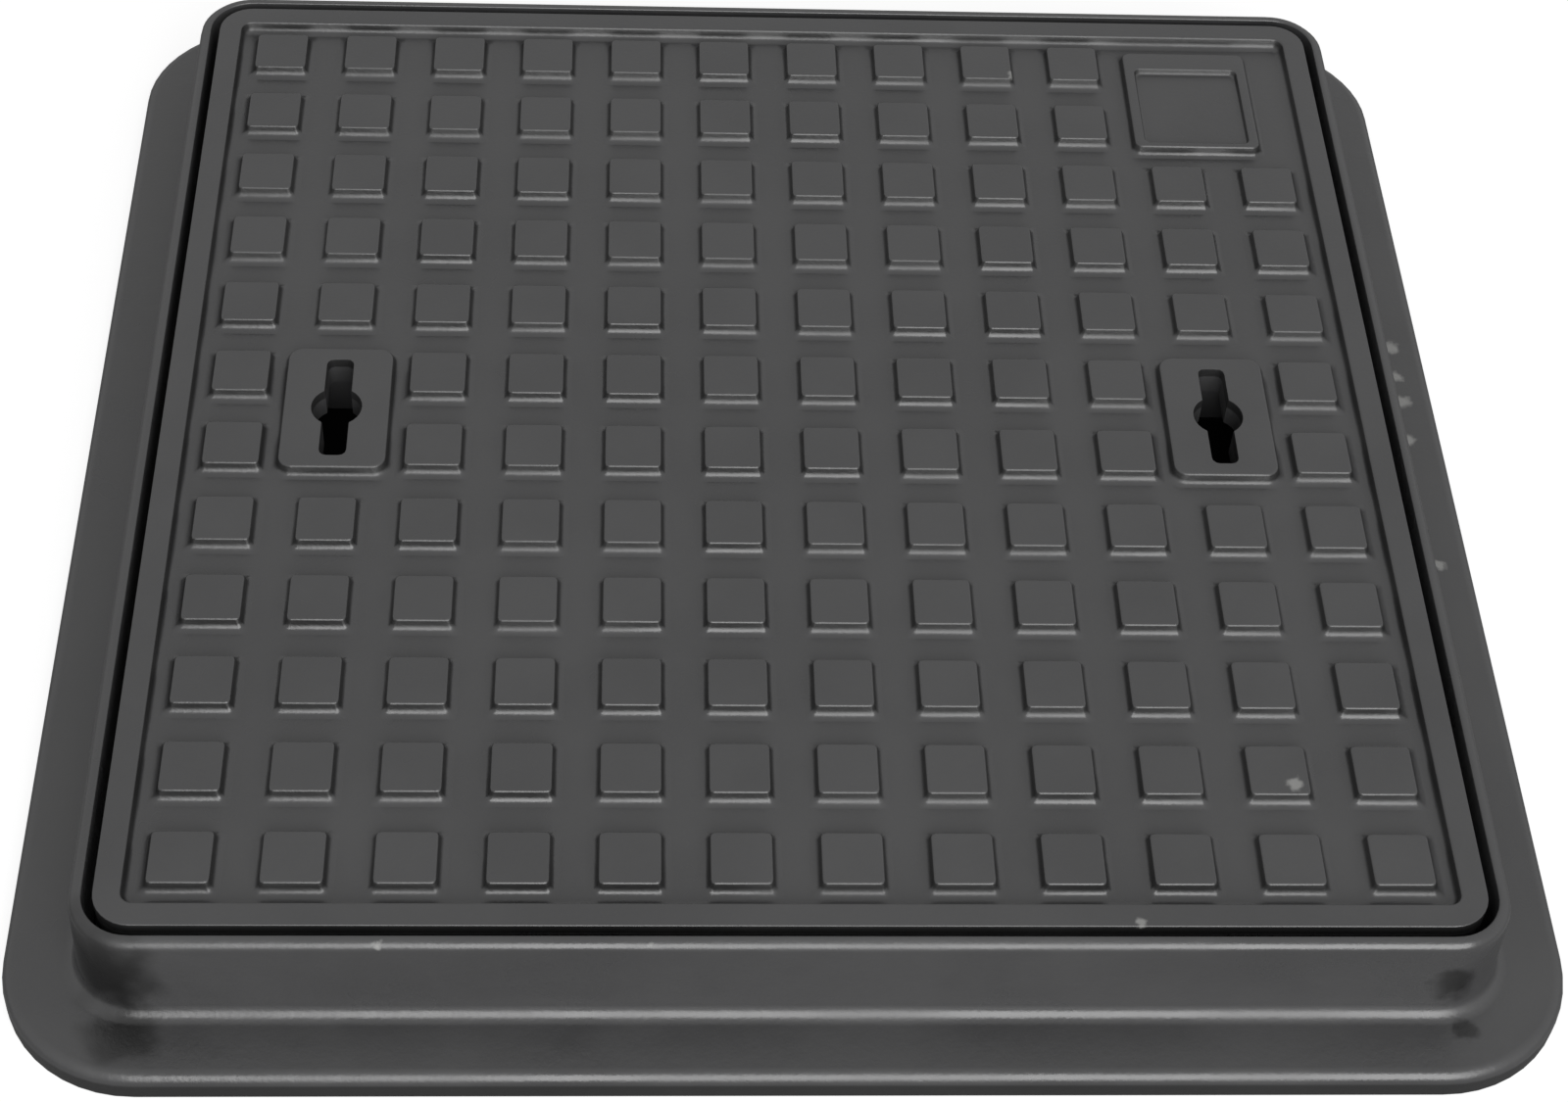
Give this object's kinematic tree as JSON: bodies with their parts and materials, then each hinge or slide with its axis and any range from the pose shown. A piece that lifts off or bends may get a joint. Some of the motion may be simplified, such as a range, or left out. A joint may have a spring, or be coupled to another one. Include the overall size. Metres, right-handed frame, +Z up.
{
  "type": "manhole cover and frame",
  "caption": "Square cast-iron access cover with raised square studs and two lifting-key slots, resting in a flanged frame.",
  "frame": {"origin": "middle of the bedding face, under the frame", "axes": "+Z up out of the ground, the key slots lie left and right along X, and the name panel is in the corner towards +X and +Y"},
  "size_m": [0.6, 0.6, 0.055],
  "materials": {
    "frame_iron": "charcoal bitumen paint on rough sand-cast iron",
    "cover_iron": "charcoal bitumen paint on rough sand-cast iron"
  },
  "bodies": {
    "root": {"frame": "frame_iron", "cover": "cover_iron"}
  },
  "joints": []
}
